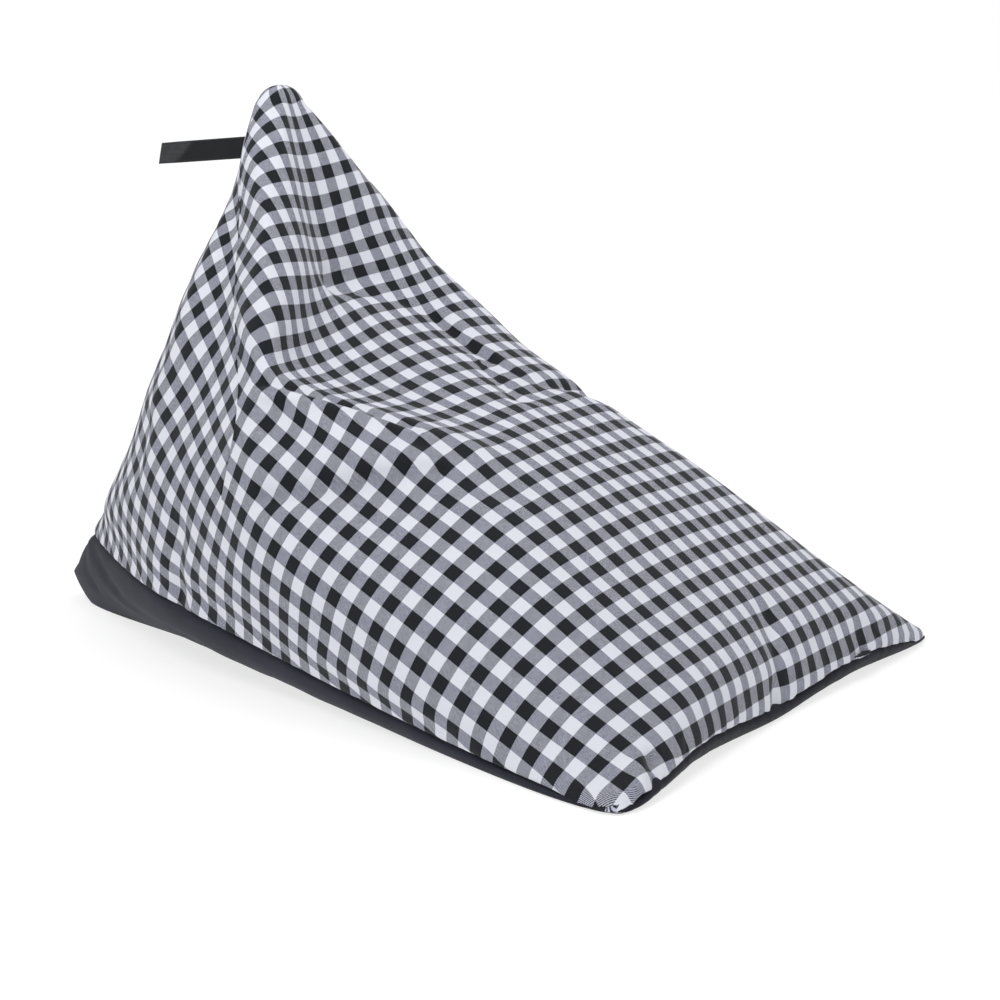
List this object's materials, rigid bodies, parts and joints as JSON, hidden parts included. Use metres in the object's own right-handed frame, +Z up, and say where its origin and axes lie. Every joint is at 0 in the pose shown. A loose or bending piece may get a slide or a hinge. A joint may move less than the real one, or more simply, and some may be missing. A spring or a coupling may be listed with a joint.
{
  "type": "pyramid bean bag lounger",
  "caption": "Large bead-filled floor lounger shaped like a leaning pyramid: low wide front, hollowed seat, pointed backrest, closed base panel and a folded strap behind the tip.",
  "frame": {"origin": "on the floor, under the centre of the whole part's bounding box", "axes": "+Z up; +Y from the low front hem to the rear corner, the longest side; +X to the right of someone who looks at the front of the seat along +Y"},
  "size_m": [0.9478, 1.2888, 0.8275],
  "materials": {
    "gingham_cloth": "woven cotton check, matte",
    "charcoal_cloth": "dense plain weave, slight sheen",
    "black_leather": "smooth, satin"
  },
  "bodies": {
    "root": {"gingham_cover": "gingham_cloth", "base_panel": "charcoal_cloth", "handle": "black_leather"}
  },
  "joints": []
}
